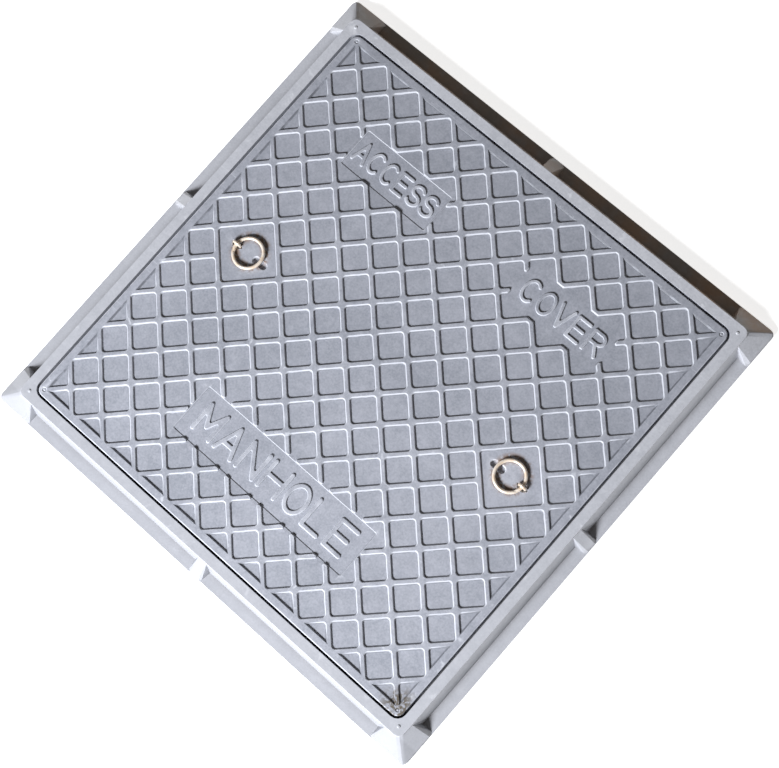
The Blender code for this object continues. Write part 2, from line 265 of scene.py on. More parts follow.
def bridge(bm, first, second):
    """Faces between two closed loops with as many vertices each."""
    count = len(first)
    for i in range(count):
        j = (i + 1) % count
        bm.faces.new((first[i], first[j], second[j], second[i]))


def add_profile(bm, outline, steps, shares=None):
    """Joined loops, one for each (distance outwards, z) step. Returns the first and the last loop."""
    loops = [loop_at(bm, shifted(outline, distance, shares), z) for distance, z in steps]
    for lower, upper in zip(loops, loops[1:]):
        bridge(bm, lower, upper)
    return loops[0], loops[-1]


def anticlockwise(loop):
    """The vertex loop in anticlockwise order, with the area inside it."""
    pairs = zip(loop, loop[1:] + loop[:1])
    area = sum(a.co.x * b.co.y - a.co.y * b.co.x for a, b in pairs) / 2
    return (abs(area), loop if area > 0 else loop[::-1])


def edges_round(start, count):
    """The edges of a closed chain of count vertices, numbered from start."""
    return [(start + i, start + (i + 1) % count) for i in range(count)]


def faces_reached(faces, walls, start_edges):
    """Numbers of the triangles on the start edges, and of all that they reach without crossing a wall."""
    owner = {}
    for number, face in enumerate(faces):
        for edge in zip(face, face[1:] + face[:1]):
            owner[edge] = number
    waiting = [owner[edge] for edge in start_edges if edge in owner]
    reached = set(waiting)
    while waiting:
        face = faces[waiting.pop()]
        for a, b in zip(face, face[1:] + face[:1]):
            beyond = owner.get((b, a))
            if (a, b) not in walls and (b, a) not in walls and beyond is not None and beyond not in reached:
                reached.add(beyond)
                waiting.append(beyond)
    return reached


def fill(bm, loops):
    """Flat faces inside the largest vertex loop and outside the others, which are holes in it."""
    loops = [loop for _, loop in sorted(map(anticlockwise, loops), key=lambda found: -found[0])]
    verts = [vert for loop in loops for vert in loop]
    outer_edges = edges_round(0, len(loops[0]))
    hole_edges = []
    start = len(loops[0])
    for loop in loops[1:]:
        hole_edges += edges_round(start, len(loop))
        start += len(loop)
    found = delaunay_2d_cdt([vert.co.xy for vert in verts], outer_edges + hole_edges, [], 1, 1e-7, True)
    origins = [origin[0] for origin in found[3]]
    faces = [[origins[i] for i in face] for face in found[2]]
    outside = [(b, a) for a, b in outer_edges]
    unwanted = faces_reached(faces, set(outer_edges + hole_edges), hole_edges + outside)
    for number, face in enumerate(faces):
        if number not in unwanted:
            bm.faces.new([verts[i] for i in face])


# Gain on the mean angle between a vertex's faces, and the deepest corner a vertex on a level face counts as
EDGE_GAIN = 4.5
LEVEL_LOWEST = -0.28
LEVEL_NORMAL = 0.9999


def mark_edges(bm, plain_area):
    """Stores how convex the surface is at each vertex, from 1 on an outer edge to -1 in an inner corner.

    Stores how steep it is there too. Where plain_area is given, nothing counts as steep, and vertices
    on a face larger than that count as flat.
    """
    layer = bm.verts.layers.float.new("edge")
    slope = bm.verts.layers.float.new("slope")
    for vert in bm.verts:
        vert[slope] = 0 if plain_area else max(0, 1 - abs(vert.normal.z)) ** 0.5
        angles = [edge.calc_face_angle_signed(0) for edge in vert.link_edges]
        total = sum(angles) / max(1, len(angles))
        is_flat = plain_area and any(face.calc_area() > plain_area for face in vert.link_faces)
        on_level = any(abs(face.normal.z) > LEVEL_NORMAL for face in vert.link_faces)
        lowest = LEVEL_LOWEST if on_level else -1
        vert[layer] = 0 if is_flat else max(lowest, min(1, EDGE_GAIN * total))


def piece_from(bm, name, body, material, node=None, plain_area=None):
    """Turns a closed bmesh into a piece that rides on a body and may stand for a CAD node."""
    bmesh.ops.recalc_face_normals(bm, faces=bm.faces)
    bm.normal_update()
    mark_edges(bm, plain_area)
    mesh = bpy.data.meshes.new(name)
    bm.to_mesh(mesh)
    bm.free()
    mesh.materials.append(material)
    mesh.shade_smooth()
    mesh.set_sharp_from_angle(angle=math.radians(50))
    piece = bpy.data.objects.new(name, mesh)
    bpy.context.scene.collection.objects.link(piece)
    weighting = piece.modifiers.new("normals", "WEIGHTED_NORMAL")
    weighting.keep_sharp = True
    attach(piece, body)
    if node:
        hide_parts(node)
    return piece


# Materials


def add_node(tree, kind, inputs=None, **settings):
    """A shader node with its inputs linked or set."""
    made = tree.nodes.new(kind)
    for key, value in settings.items():
        setattr(made, key, value)
    for key, value in (inputs or {}).items():
        if isinstance(value, bpy.types.NodeSocket):
            tree.links.new(value, made.inputs[key])
        else:
            made.inputs[key].default_value = value
    return made


def noise(tree, coordinates, scale, detail=3, distortion=0.0):
    inputs = {"Vector": coordinates, "Scale": scale, "Detail": detail, "Distortion": distortion}
    return add_node(tree, "ShaderNodeTexNoise", inputs).outputs[0]


def remap(tree, value, low, high, to_low=0.0, to_high=1.0):
    inputs = {"Value": value, "From Min": low, "From Max": high, "To Min": to_low, "To Max": to_high}
    return add_node(tree, "ShaderNodeMapRange", inputs).outputs["Result"]


def math_node(tree, operation, first, second):
    made = add_node(tree, "ShaderNodeMath", {0: first, 1: second}, operation=operation)
    return made.outputs[0]


def product(tree, *values):
    result = values[0]
    for value in values[1:]:
        result = math_node(tree, "MULTIPLY", result, value)
    return result


def mixed(tree, factor, first, second):
    made = add_node(tree, "ShaderNodeMix", data_type="RGBA")
    for number, value in ((0, factor), (6, first), (7, second)):
        if isinstance(value, bpy.types.NodeSocket):
            tree.links.new(value, made.inputs[number])
        elif number == 0:
            made.inputs[number].default_value = value
        else:
            made.inputs[number].default_value = (*value, 1)
    return made.outputs[2]


def new_material(name):
    """A material with its node tree, its shader and its object coordinates."""
    made = bpy.data.materials.new(name)
    made.use_nodes = True
    tree = made.node_tree
    shader = tree.nodes["Principled BSDF"]
    coordinates = add_node(tree, "ShaderNodeTexCoord").outputs["Object"]
    return made, tree, shader, coordinates


def stretched(tree, coordinates, turn, scales):
    """Coordinates turned about Z and scaled, for marks that run one way."""
    inputs = {"Vector": coordinates, "Rotation": (0, 0, turn), "Scale": scales}
    return add_node(tree, "ShaderNodeMapping", inputs).outputs["Vector"]


def bump_from(tree, shader, layers):
    """Chains bump layers of (height, distance in metres) into the shader."""
    normal = None
    for height, distance in layers:
        inputs = {"Strength": 1.0, "Distance": distance, "Height": height}
        if normal:
            inputs["Normal"] = normal
        normal = add_node(tree, "ShaderNodeBump", inputs).outputs["Normal"]
    tree.links.new(normal, shader.inputs["Normal"])


def scratches(tree, coordinates):
    """A mask of fine straight marks in three directions."""
    result = None
    for turn, shift in ((0.35, 0.0), (1.45, 3.1), (2.5, 7.7)):
        run = stretched(tree, coordinates, turn, (6, 420, 6))
        moved = add_node(tree, "ShaderNodeVectorMath", {0: run, 1: (shift, shift, shift)}).outputs[0]
        lines = remap(tree, noise(tree, moved, 1.0, 2), 0.68, 0.74)
        result = lines if result is None else math_node(tree, "MAXIMUM", result, lines)
    return result


# Frame: how far from the middle its wall's top and foot lie, and where the shade at its foot ends
WALL_TOP = 319 * MM
WALL_SHADE = 322 * MM
WALL_FOOT = 329 * MM
FOOT_FADE = 338 * MM
# Colours of painted shade: the frame's, the flange's by the wall's foot, and the brown behind the +Y wall
FRAME_SHADE = (0.29, 0.30, 0.33)
FLANGE_SHADE = (0.22, 0.22, 0.23)
BROWN_SHADE = (0.27, 0.225, 0.185)
WARM_BROWN_SHADE = (0.42, 0.26, 0.145)
# Colour of the painted shade in inner corners and creases
CREASE_SHADE = (0.075, 0.08, 0.095)


def painted_frame_shade(tree, colour, coordinates, mottle):
    """Painted shade on the frame: darker towards -Y, on the -Y wall and on the flange by the wall's foot,
    with brown painted shade behind the +Y wall, where its shadow falls.
    """
    place = add_node(tree, "ShaderNodeSeparateXYZ", {0: coordinates})
    along_y = place.outputs["Y"]
    height = place.outputs["Z"]
    # Painted shade: darker towards the -Y side, which faces the lamp
    towards_low_y = remap(tree, along_y, FRAME_HIGH.y, FRAME_LOW.y, 0, 0.57)
    colour = mixed(tree, towards_low_y, colour, FRAME_SHADE)

    across = math_node(tree, "ABSOLUTE", place.outputs["X"], 0.0)
    outwards = math_node(tree, "MAXIMUM", across, math_node(tree, "ABSOLUTE", along_y, 0.0))
    # Painted shade on the flange, deepest at the wall's foot
    near_foot = remap(tree, outwards, FOOT_FADE, WALL_FOOT, 0.2, 0.5)
    on_flange = product(tree, near_foot, remap(tree, height, 9 * MM, 6 * MM))
    colour = mixed(tree, on_flange, colour, FLANGE_SHADE)

    low_down = remap(tree, height, 29 * MM, 25 * MM)
    above_flange = remap(tree, height, 6 * MM, 9 * MM)
    # Painted shade on the -Y wall and the faces of its blocks
    on_wall = product(tree, low_down, above_flange, remap(tree, along_y, -WALL_TOP, -WALL_SHADE), 0.5)
    colour = mixed(tree, on_wall, colour, FRAME_SHADE)

    # Brown painted shade behind the +Y wall, where the wall's shadow lies; the rust mask here only varies its
    # warmth
    wall_line = math_node(tree, "MAXIMUM", across, WALL_TOP)
    behind = remap(tree, math_node(tree, "SUBTRACT", along_y, wall_line), 0, 3 * MM)
    brown_shade_mask = product(tree, low_down, behind, remap(tree, mottle, 0.3, 0.5, 0.5, 0.75))
    rust = remap(tree, noise(tree, coordinates, 16, 5), 0.4, 0.65)
    return mixed(tree, brown_shade_mask, colour, mixed(tree, rust, BROWN_SHADE, WARM_BROWN_SHADE))


def wear_scuffs_and_highlight(tree, coordinates, edge, cloud, mottle, scuff_share):
    """How pale each place is: worn edges with painted highlight on them, painted highlight on steep walls,
    and scuffed patches and scratches on the top.
    """
    slope = add_node(tree, "ShaderNodeAttribute", attribute_name="slope").outputs["Fac"]
    chips = remap(tree, noise(tree, coordinates, 55, 7), 0.40, 0.62)
    # Painted highlight on the walls, paler the steeper they are
    painted_slope_highlight = product(tree, remap(tree, slope, 0.12, 0.5), remap(tree, mottle, 0.3, 0.6, 0.65, 1.0))
    # Edge wear with painted highlight, joined with the walls' painted highlight
    edge_wear_and_highlight = math_node(tree, "MAXIMUM", product(tree, remap(tree, edge, 0.1, 0.9), chips), painted_slope_highlight)
    height = add_node(tree, "ShaderNodeSeparateXYZ", {0: coordinates}).outputs["Z"]
    on_top = remap(tree, height, TOP_Z - 0.5 * MM, TOP_Z - 0.2 * MM)
    patches = remap(tree, noise(tree, coordinates, 60, 8, 0.6), 0.68 - scuff_share, 0.76 - scuff_share)
    marks = product(tree, scratches(tree, coordinates), remap(tree, cloud, 0.45, 0.6), 0.5)
    scuffs = product(tree, on_top, math_node(tree, "MAXIMUM", patches, marks))
    return math_node(tree, "MAXIMUM", product(tree, edge_wear_and_highlight, 0.8), product(tree, scuffs, 0.6))


def stain_and_shadow_mark(tree, colour, coordinates, circle_mark):
    """A speckled brown mark along a circle, on the upper side only; it draws real stains and painted shadows
    alike.
    """
    centre, radius, near, far, strength, brown = circle_mark
    away = add_node(tree, "ShaderNodeVectorMath", {0: coordinates, 1: centre}, operation="DISTANCE")
    beyond_circle = math_node(tree, "SUBTRACT", away.outputs["Value"], radius)
    off_circle = math_node(tree, "ABSOLUTE", beyond_circle, 0.0)
    height = add_node(tree, "ShaderNodeSeparateXYZ", {0: coordinates}).outputs["Z"]
    upper_side = remap(tree, height, PLATE_BOTTOM_Z + MM, PLATE_BOTTOM_Z + 3 * MM)
    reach = product(tree, remap(tree, off_circle, far, near), upper_side)
    uneven = remap(tree, noise(tree, coordinates, 170, 8, 1.0), 0.40, 0.54)
    return mixed(tree, product(tree, reach, uneven, strength), colour, brown)


def moulding(name, dark, light, worn_and_highlight_tone, scuff_share, stains_and_shadows=(), with_painted_frame_shade=False):
    """Moulded composite: grainy tone, pale edges with wear and painted highlight, painted highlight on steep
    walls, scuffs, painted shade in inner corners, brown stains, painted shadows and, where asked, the frame's
    painted shade.
    """
    made, tree, shader, coordinates = new_material(name)
    cloud = noise(tree, coordinates, 7, 3)
    mottle = noise(tree, coordinates, 70, 5)
    grain = noise(tree, coordinates, 420, 5)
    tone = math_node(tree, "ADD", product(tree, cloud, 0.3), product(tree, mottle, 0.25))
    tone = math_node(tree, "ADD", tone, product(tree, grain, 0.45))
    colour = mixed(tree, remap(tree, tone, 0.38, 0.62), dark, light)

    edge = add_node(tree, "ShaderNodeAttribute", attribute_name="edge").outputs["Fac"]
    pale = wear_scuffs_and_highlight(tree, coordinates, edge, cloud, mottle, scuff_share)
    colour = mixed(tree, pale, colour, worn_and_highlight_tone)
    # Painted shade in the inner corners, where the walls meet the floors
    crease_shade_mask = product(tree, remap(tree, edge, -0.15, -0.8), remap(tree, mottle, 0.25, 0.5), 0.7)
    colour = mixed(tree, crease_shade_mask, colour, CREASE_SHADE)
    if with_painted_frame_shade:
        colour = painted_frame_shade(tree, colour, coordinates, mottle)
    for circle_mark in stains_and_shadows:
        colour = stain_and_shadow_mark(tree, colour, coordinates, circle_mark)
    tree.links.new(colour, shader.inputs["Base Color"])

    rough = math_node(tree, "ADD", remap(tree, mottle, 0.3, 0.7, 0.40, 0.50), product(tree, pale, 0.12))
    tree.links.new(rough, shader.inputs["Roughness"])
    shader.inputs["Specular IOR Level"].default_value = 0.5
    bump_from(tree, shader, ((mottle, 0.2 * MM), (grain, 0.07 * MM)))
    return made


def gold_wire():
    """Brassy plated wire, slightly tarnished, with fine draw marks."""
    made, tree, shader, coordinates = new_material("gold_wire")
    tarnish = noise(tree, coordinates, 160, 5)
    fine = noise(tree, coordinates, 1500, 3)
    colour = mixed(tree, remap(tree, tarnish, 0.38, 0.6), (0.83, 0.68, 0.53), (0.96, 0.87, 0.77))
    tree.links.new(colour, shader.inputs["Base Color"])
    tree.links.new(remap(tree, tarnish, 0.35, 0.65, 0.34, 0.24), shader.inputs["Roughness"])
    shader.inputs["Metallic"].default_value = 0.3
    bump_from(tree, shader, ((tarnish, 0.05 * MM), (fine, 0.006 * MM)))
    return made


def plated_steel():
    """Zinc-plated steel with a faint crystalline mottle."""
    made, tree, shader, coordinates = new_material("plated_steel")
    spangle = noise(tree, coordinates, 420, 5)
    rust = remap(tree, noise(tree, coordinates, 90, 6), 0.62, 0.72)
    colour = mixed(tree, remap(tree, spangle, 0.4, 0.6), (0.42, 0.43, 0.44), (0.62, 0.62, 0.61))
    colour = mixed(tree, product(tree, rust, 0.6), colour, (0.22, 0.12, 0.06))
    tree.links.new(colour, shader.inputs["Base Color"])
    tree.links.new(remap(tree, spangle, 0.3, 0.7, 0.28, 0.46), shader.inputs["Roughness"])
    shader.inputs["Metallic"].default_value = 0.9
    bump_from(tree, shader, ((spangle, 0.02 * MM),))
    return made


def black_rubber():
    """Black rubber with a little dust on it."""
    made, tree, shader, coordinates = new_material("black_rubber")
    dust = noise(tree, coordinates, 130, 6)
    grain = noise(tree, coordinates, 1800, 2)
    colour = mixed(tree, remap(tree, dust, 0.45, 0.7), (0.018, 0.018, 0.02), (0.06, 0.058, 0.055))
    tree.links.new(colour, shader.inputs["Base Color"])
    tree.links.new(remap(tree, dust, 0.3, 0.7, 0.7, 0.9), shader.inputs["Roughness"])
    bump_from(tree, shader, ((grain, 0.02 * MM),))
    return made


# Dark, light and worn tone of each moulding; the worn tone is also the painted highlight on edges and walls
LID_TONES = ((0.255, 0.272, 0.315), (0.375, 0.39, 0.445), (0.66, 0.685, 0.75))
FRAME_TONES = ((0.45, 0.465, 0.51), (0.57, 0.585, 0.635), (0.72, 0.74, 0.79))
LID_SCUFFS = 0.03
FRAME_SCUFFS = 0.055
# Brown marks along circles, dirt at a corner and painted shadow round the rings: centre, radius, distances
# where it starts to fade and ends, strength, colour
DIRT_CENTRE = LID_HALF - 12 * MM
CORNER_DIRT = ((DIRT_CENTRE, -DIRT_CENTRE, TOP_Z), 0, 10 * MM, 27 * MM, 1.0, (0.10, 0.085, 0.065))
# Brown painted shadow of each ring, along the ring and moved towards +Y, where its shadow falls
RING_SHADOW_X = HINGE_X - RING_RADIUS
RING_SHADOW_SHIFT = 3 * MM
RING_SHADOW_BROWN = (0.19, 0.115, 0.07)
RING_PAINTED_SHADOWS = tuple(
    ((side * RING_SHADOW_X, RING_SHADOW_SHIFT, FLOOR_Z), RING_RADIUS, 3 * MM, 9 * MM, 0.85, RING_SHADOW_BROWN)
    for side in (-1, 1)
)
LID_MOULDING = moulding("lid_moulding_worn_painted_light", *LID_TONES, LID_SCUFFS, stains_and_shadows=(CORNER_DIRT, *RING_PAINTED_SHADOWS))
FRAME_MOULDING = moulding("frame_moulding_worn_painted_light", *FRAME_TONES, FRAME_SCUFFS, with_painted_frame_shade=True)
GOLD_WIRE = gold_wire()
PLATED_STEEL = plated_steel()
BLACK_RUBBER = black_rubber()


# Lid


def in_plain_area(x, y):
    """Whether a grid pocket centred there would lie wholly inside a name field or a ring pocket."""
    for field_x, field_y, width, height in NAME_FIELDS:
        half_width = (width - 1) / 2 * GRID_PITCH
        half_height = (height - 1) / 2 * GRID_PITCH
        inside_x = abs(x - field_x * GRID_PITCH) < half_width
        if inside_x and abs(y - field_y * GRID_PITCH) <= half_height + MM:
            return True
    return abs(abs(x) - RING_POCKET_X) + abs(y) < RING_POCKET_SHARE * GRID_PITCH


def field_outline(field):
    """The rectangle of a plain field in the grid."""
    x, y, width, height = (value * GRID_PITCH for value in field)
    return rectangle(width, height, (x, y))


def pocket_outlines():
    """Outlines of every pocket in the lid's top; the fields run into the pockets beside them."""
    half_diagonal = (GRID_PITCH - RIB_WIDTH * math.sqrt(2)) / 2
    large_half_diagonal = (2 * GRID_PITCH - RIB_WIDTH * math.sqrt(2)) / 2
    outlines = [field_outline(field) for field in NAME_FIELDS]
    for row in range(2 * GRID_CELLS + 1):
        for column in range(2 * GRID_CELLS + 1):
            x = (column - GRID_CELLS) * GRID_PITCH / 2
            y = (row - GRID_CELLS) * GRID_PITCH / 2
            if (row + column) % 2 == 1 and not in_plain_area(x, y):
                outline = diamond(half_diagonal, (x, y))
                at_rim = max(abs(x), abs(y)) > GRID_LIMIT
                outlines.append(clipped(outline, GRID_LIMIT) if at_rim else outline)
    for side in (1, -1):
        outlines.append(diamond(large_half_diagonal, (side * RING_POCKET_X, 0)))
    return [rounded(outline, POCKET_CORNER_RADIUS, RIB_END_RADIUS) for outline in union(outlines)]


# Profiles: distance outwards from the outline, and height
POCKET_PROFILE = (
    (0.95 * MM, TOP_Z),
    (0.5 * MM, TOP_Z - 0.07 * MM),
    (0.12 * MM, TOP_Z - 0.34 * MM),
    (-1.0 * MM, FLOOR_Z + 0.3 * MM),
    (-1.35 * MM, FLOOR_Z + 0.07 * MM),
    (-1.9 * MM, FLOOR_Z),
)
EYE_PROFILE = (
    (0.8 * MM, FLOOR_Z),
    (0.45 * MM, FLOOR_Z - 0.06 * MM),
    (0.1 * MM, FLOOR_Z - 0.4 * MM),
    (0, FLOOR_Z - 0.8 * MM),
    (0, PLATE_BOTTOM_Z + 0.5 * MM),
    (0.15 * MM, PLATE_BOTTOM_Z + 0.15 * MM),
    (0.5 * MM, PLATE_BOTTOM_Z),
)
GROOVE_PROFILE = (
    (2.3 * MM, FLOOR_Z),
    (1.95 * MM, FLOOR_Z - 0.1 * MM),
    (1.25 * MM, FLOOR_Z - 0.8 * MM),
    (0.8 * MM, FLOOR_Z - 2.6 * MM),
    (0.5 * MM, FLOOR_Z - 4.2 * MM),
    (-0.1 * MM, FLOOR_Z - 4.8 * MM),
)

# Share of its slope that a wall keeps beside a sunk plate, and how far away it has it all again
LEAST_SHARE = 0.3
SHARE_REACH = 4 * MM
# Rib ends this close to a sunk plate's border get no painted crease shade
CREASE_SHADE_FREE_REACH = 1.5 * MM


def off_plates(point):
    """Distance from the border of the nearest sunk plate's field."""
    distances = []
    for field in PLATE_FIELDS:
        x, y, width, height = (value * GRID_PITCH for value in field)
        distances.append(abs(max(abs(point.x - x) - width / 2, abs(point.y - y) - height / 2)))
    return min(distances)


def wall_shares(outline):
    """How much of its full slope a pocket's wall has at each point: little beside a sunk plate."""
    return [LEAST_SHARE + (1 - LEAST_SHARE) * min(1, off_plates(point) / SHARE_REACH) for point in outline]


def lift_crease_shade_at_rib_ends(piece):
    """Takes the painted crease shade off the steep ends of the ribs at the sunk plates."""
    edges = piece.data.attributes["edge"].data
    for vert in piece.data.vertices:
        if vert.co.z > FLOOR_Z + 0.01 * MM and off_plates(vert.co) < CREASE_SHADE_FREE_REACH:
            edges[vert.index].value = max(0, edges[vert.index].value)


def add_eye_hole(bm, hinge_x):
    """The hole for a staple's legs through the lid's plate. Returns its upper and its lower mouth."""
    outline = rounded(long_hexagon(*EYE_HOLE, (hinge_x, 0)), 1.2 * MM, 0)
    return add_profile(bm, outline, EYE_PROFILE)


def add_finger_groove(bm, side):
    """A round-bottomed groove under the ring's free end. Returns its mouth."""
    length, width = GROOVE
    reach = (length - width) / 2
    middle = side * GROOVE_X
    outline = stroke_outline(line((middle - reach, 0), (middle + reach, 0)), width / 2)
    mouth, bottom = add_profile(bm, outline, GROOVE_PROFILE)
    fill(bm, [bottom])
    return mouth


PLATE_PROFILE = (
    (0.15 * MM, FLOOR_Z),
    (-0.1 * MM, FLOOR_Z - 0.08 * MM),
    (-0.6 * MM, PLATE_Z + 0.12 * MM),
    (-1.0 * MM, PLATE_Z + 0.04 * MM),
    (-1.8 * MM, PLATE_Z),
)

DIMPLE_REACH = 297 * MM
DIMPLE_RADIUS = 2.75 * MM
DIMPLE_STEPS = 28
DIMPLE_Z = TOP_Z - 1.1 * MM
DIMPLE_PROFILE = (
    (0.35 * MM, TOP_Z),
    (0, TOP_Z - 0.15 * MM),
    (-0.3 * MM, TOP_Z - 0.9 * MM),
    (-0.7 * MM, DIMPLE_Z),
)


def corner_dimples(bm):
    """The round dimples in the lid's corners. Returns their mouths."""
    mouths = []
    for x in (-DIMPLE_REACH, DIMPLE_REACH):
        for y in (-DIMPLE_REACH, DIMPLE_REACH):
            mouth, bottom = add_profile(bm, circle(DIMPLE_RADIUS, DIMPLE_STEPS, (x, y)), DIMPLE_PROFILE)
            fill(bm, [bottom])
            mouths.append(mouth)
    return mouths


def add_name_plate(bm, field):
    """The shallow sunk plate of a name field. Returns its mouth."""
    x, y, width, height = (value * GRID_PITCH for value in field)
    plate = rectangle(width - 2 * PLATE_INSET, height - 2 * PLATE_INSET, (x, y))
    mouth, bottom = add_profile(bm, rounded(plate, 2.5 * MM, 0), PLATE_PROFILE)
    fill(bm, [bottom])
    return mouth


def under_spans():
    """Low and high edge of each hollow between the ribs under the lid, along one axis."""
    half_rib = UNDER_RIB / 2
    inner_face = LID_HALF - SKIRT_THICKNESS
    starts = [-UNDER_RIB_CENTRES[0] + half_rib] + [centre + half_rib for centre in UNDER_RIB_CENTRES]
    ends = [centre - half_rib for centre in UNDER_RIB_CENTRES] + [inner_face]
    positive = list(zip(starts, ends))
    return [(-high, -low) for low, high in reversed(positive[1:])] + positive


def inside(point, middle, half_width, half_height):
    """Whether a point lies in the rectangle round a middle point."""
    away = point - middle
    return abs(away.x) < half_width and abs(away.y) < half_height


def middle_of(loop):
    return sum((vert.co.xy for vert in loop), flat(0, 0)) / len(loop)


def add_under_hollows(bm, outer, plate_holes):
    """The skirt's underside and the hollows, with the holes of the rings' fixings in their ceilings."""
    bottom = LID_LOW.z
    steps = (
        (0.7 * MM, bottom),
        (0.2 * MM, bottom + 0.2 * MM),
        (0, bottom + 0.7 * MM),
        (-0.4 * MM, PLATE_BOTTOM_Z - 1.4 * MM),
        (-0.9 * MM, PLATE_BOTTOM_Z - 0.4 * MM),
        (-1.9 * MM, PLATE_BOTTOM_Z),
    )
    mouths = []
    for low_x, high_x in under_spans():
        for low_y, high_y in under_spans():
            width = high_x - low_x
            height = high_y - low_y
            centre = flat((low_x + high_x) / 2, (low_y + high_y) / 2)
            outline = rounded(rectangle(width, height, centre), 3 * MM, 0)
            mouth, ceiling = add_profile(bm, outline, steps)
            mouths.append(mouth)
            holes = [hole for hole in plate_holes if inside(middle_of(hole), centre, width / 2, height / 2)]
            fill(bm, [ceiling] + holes)
    fill(bm, [outer] + mouths)


# A hole this close to a pocket's middle belongs to the pocket
NEAR_MIDDLE = 24 * MM


def lid():
    """The lid: grid, fields, pockets and holes on top, skirt and hollows underneath."""
    bm = bmesh.new()
    plate_holes = []
    floor_holes = []
    for side, word in ((1, "right"), (-1, "left")):
        upper, lower = add_eye_hole(bm, hinge_of(word).x)
        floor_holes += [upper, add_finger_groove(bm, side)]
        plate_holes.append(lower)
    floor_holes += [add_name_plate(bm, field) for field in PLATE_FIELDS]
    mouths = corner_dimples(bm)
    for outline in pocket_outlines():
        mouth, floor = add_profile(bm, outline, POCKET_PROFILE, wall_shares(outline))
        mouths.append(mouth)
        middle = middle_of(floor)
        fill(bm, [floor] + [hole for hole in floor_holes if (middle_of(hole) - middle).length < NEAR_MIDDLE])
    side_steps = (
        (-1.5 * MM, TOP_Z),
        (-0.85 * MM, TOP_Z - 0.12 * MM),
        (-0.3 * MM, TOP_Z - 0.5 * MM),
        (0, TOP_Z - 1.3 * MM),
        (0, LID_LOW.z + 0.8 * MM),
        (-0.2 * MM, LID_LOW.z + 0.25 * MM),
        (-0.8 * MM, LID_LOW.z),
    )
    rim, bottom = add_profile(bm, rounded_square(LID_HALF, LID_CORNER_RADIUS), side_steps)
    fill(bm, [rim] + mouths)
    add_under_hollows(bm, bottom, plate_holes)
    lift_crease_shade_at_rib_ends(piece_from(bm, "lid_body", "lid", LID_MOULDING, "lid"))


# Raised words on the lid


def line(*points):
    """An open chain of points."""
    return [flat(*point) for point in points]


def arc(centre, radii, from_degrees, to_degrees):
    """Points along part of an ellipse, about 12 degrees apart."""
    span = to_degrees - from_degrees
    steps = max(3, round(abs(span) / 12))
    points = []
    for k in range(steps + 1):
        turn = math.radians(from_degrees + span * k / steps)
        points.append(flat(centre[0] + radii[0] * math.cos(turn), centre[1] + radii[1] * math.sin(turn)))
    return points


def letter_strokes(letter, w):
    """Centre lines of a plain letter, 1 high and w wide."""
    if letter == "A":
        return [line((0, 0), (w / 2, 1)), line((w / 2, 1), (w, 0)), line((0.16 * w, 0.32), (0.84 * w, 0.32))]
    if letter == "C":
        return [arc((w * 0.52, 0.5), (w * 0.52, 0.5), 50, 310)]
    if letter == "E":
        bars = [line((0, y), (w * reach, y)) for y, reach in ((0, 0.92), (0.52, 0.8), (1, 0.92))]
        return bars + [line((0, 0), (0, 1))]
    if letter == "H":
        return [line((0, 0), (0, 1)), line((w, 0), (w, 1)), line((0, 0.52), (w, 0.52))]
    if letter == "L":
        return [line((0, 1), (0, 0)), line((0, 0), (w * 0.9, 0))]
    if letter == "M":
        peaks = ((0, 0), (0, 1), (w / 2, 0.3), (w, 1), (w, 0))
        return [line(a, b) for a, b in zip(peaks, peaks[1:])]
    if letter == "N":
        return [line((0, 0), (0, 1)), line((0, 1), (w, 0)), line((w, 0), (w, 1))]
    if letter == "O":
        return [arc((w / 2, 0.5), (w / 2, 0.5), 0, 180), arc((w / 2, 0.5), (w / 2, 0.5), 180, 360)]
    if letter == "R":
        bowl = [flat(0, 1)] + arc((w * 0.55, 0.75), (w * 0.42, 0.25), 90, -90) + [flat(0, 0.5)]
        return [line((0, 0), (0, 1)), bowl, line((w * 0.5, 0.5), (w, 0))]
    if letter == "S":
        upper = arc((w / 2, 0.755), (w * 0.46, 0.245), 25, 270)
        lower = arc((w / 2, 0.255), (w * 0.5, 0.255), 90, -155)
        return [upper, lower]
    return [line((0, 1), (w / 2, 0)), line((w / 2, 0), (w, 1))]


def stroke_outline(points, half_width):
    """A stroke of constant width with round ends along open points."""
    count = len(points)
    left = []
    right = []
    for i, here in enumerate(points):
        along = points[min(i + 1, count - 1)] - points[max(i - 1, 0)]
        side = flat(-along.y, along.x).normalized() * half_width
        left.append(here + side)
        right.append(here - side)
    caps = []
    for centre, start in ((points[-1], right[-1]), (points[0], left[0])):
        caps.append([centre + Matrix.Rotation(math.pi * k / 12, 2) @ (start - centre) for k in range(1, 12)])
    return right + caps[0] + left[::-1] + caps[1]


def letter_outlines(letter, width, height, half_width, corner):
    """A letter's outlines, with its lower left corner there."""
    scaled = [[point * height for point in stroke] for stroke in letter_strokes(letter, width / height)]
    return [
        [point + corner for point in outline]
        for outline in union([stroke_outline(stroke, half_width) for stroke in scaled])
    ]


# Share of the stroke's half width inwards from the foot, and height in mm above the face it stands on
LETTER_PROFILE = ((0, -0.12), (0.12, 0.12), (0.2, 0.6), (0.32, 1.5), (0.42, 1.85), (0.62, 1.98))
# Half width of a stroke's foot in half widths of the stroke, and the gap between letters in letter widths
FOOT_SHARE = 1.32
LETTER_GAP = 0.36
# Piece, word, centre in grid pitches, size, half width of a stroke, and height of the face
WORDS = (
    ("word_left", "ACCESS", (-2.505, 3.505), (130 * MM, 30 * MM), 1.9 * MM, PLATE_Z),
    ("word_right", "COVER", (2.515, 3.49), (125 * MM, 32 * MM), 1.9 * MM, FLOOR_Z),
    ("word_lower", "MANHOLE", (0.03, -3.485), (251 * MM, 42 * MM), 2.5 * MM, PLATE_Z),
)


